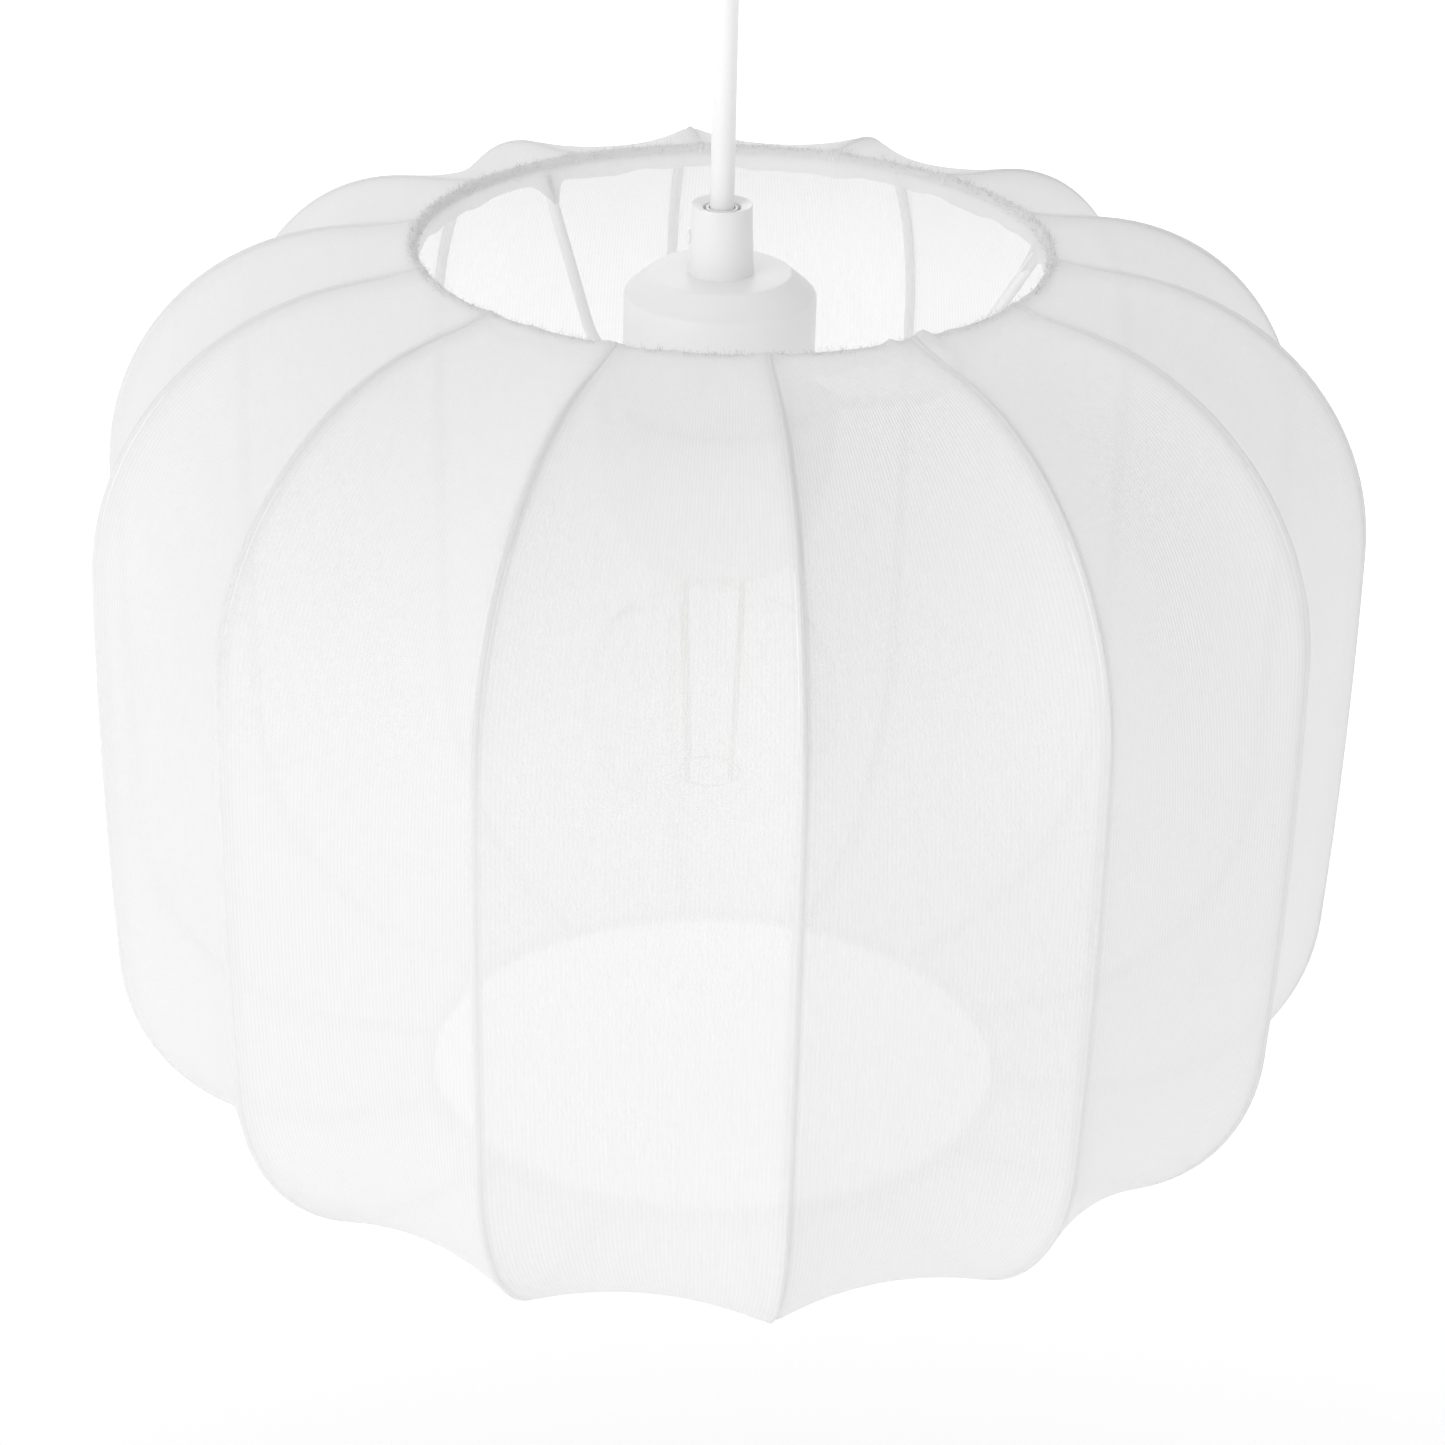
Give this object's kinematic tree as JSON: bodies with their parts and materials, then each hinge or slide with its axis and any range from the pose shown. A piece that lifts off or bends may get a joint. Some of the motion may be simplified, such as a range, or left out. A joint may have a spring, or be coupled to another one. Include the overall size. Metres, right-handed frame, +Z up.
{
  "type": "stretched fabric pendant lampshade",
  "caption": "Wide drum pendant lampshade of white knitted fabric stretched over a frame of bulging wire ribs, on a cord with a lampholder, filament bulb and ceiling cup.",
  "frame": {"origin": "centre of the ceiling bracket's top face, on the ceiling", "axes": "+Z up into the ceiling along the lamp's own axis, -Y towards the front, where the first rib is turned 7.6 degrees towards +X"},
  "size_m": [0.3272, 0.3258, 0.3769],
  "materials": {
    "painted_wire": "satin white enamel on round steel wire",
    "jersey": "white knitted jersey, matte",
    "white_moulding": "moulded white, satin",
    "ceramic": "cream ceramic or thermoset",
    "brass": "nickelled",
    "core_insulation": "extruded",
    "clear_glass": "clear",
    "cap_metal": "plated, bright",
    "black_glass": "glossy",
    "filament_coating": "powdery",
    "cord_sheath": "satin PVC",
    "zinc_steel": "zinc plated"
  },
  "bodies": {
    "ceiling": {"ceiling_bracket": "zinc_steel", "ceiling_cup": "white_moulding", "cup_screw_left": "zinc_steel", "cup_screw_right": "zinc_steel", "terminal_block": "white_moulding"},
    "grip": {"cup_grip": "white_moulding", "grip_lock_nut": "brass", "cord_tail": "cord_sheath"},
    "lamp": {"cord": "cord_sheath", "holder_cap": "white_moulding", "cord_grip_collar": "white_moulding", "grip_sleeve": "white_moulding", "collar_lock_nut": "brass", "socket_body": "ceramic", "screw_shell": "brass", "centre_contact": "brass", "terminal_left": "brass", "terminal_right": "brass", "core_wire_left": "core_insulation", "core_wire_right": "core_insulation"},
    "shade": {"top_ring": "painted_wire", "bottom_ring": "painted_wire", "rib_01": "painted_wire", "rib_02": "painted_wire", "rib_03": "painted_wire", "rib_04": "painted_wire", "rib_05": "painted_wire", "rib_06": "painted_wire", "rib_07": "painted_wire", "rib_08": "painted_wire", "rib_09": "painted_wire", "rib_10": "painted_wire", "rib_11": "painted_wire", "rib_12": "painted_wire", "rib_13": "painted_wire", "rib_14": "painted_wire", "spider_arm_1": "painted_wire", "spider_arm_2": "painted_wire", "spider_arm_3": "painted_wire", "carrier_ring": "painted_wire", "fabric_cover": "jersey"},
    "ring_nut": {"shade_ring_nut": "white_moulding"},
    "bulb": {"bulb_glass": "clear_glass", "bulb_stem": "clear_glass", "bulb_cap": "cap_metal", "bulb_tip": "cap_metal", "bulb_insulator": "black_glass", "filament_hoop": "cap_metal", "filament_1": "filament_coating", "filament_2": "filament_coating", "filament_3": "filament_coating", "filament_4": "filament_coating"}
  },
  "joints": [
    {"name": "cord_twist", "type": "hinge", "parent": "ceiling", "child": "grip", "pos_m": [0, 0, -0.047], "axis": [0, 0, 1], "range_deg": [-180, 180]},
    {"name": "swing", "type": "hinge", "parent": "grip", "child": "lamp", "pos_m": [0, 0, -0.047], "axis": [0, 1, 0], "range_deg": [-20, 20]},
    {"name": "shade_drop", "type": "slide", "parent": "lamp", "child": "shade", "axis": [0, 0, -1], "range_m": [0, 0.01]},
    {"name": "nut_unscrew", "type": "slide", "parent": "lamp", "child": "ring_nut", "axis": [0, 0, -1], "range_m": [0, 0.01]},
    {"name": "bulb_out", "type": "slide", "parent": "lamp", "child": "bulb", "axis": [0, 0, -1], "range_m": [0, 0.045]}
  ],
  "couplings": [
    {"joint": "nut_unscrew", "follows": "shade_drop", "ratio": 1}
  ]
}
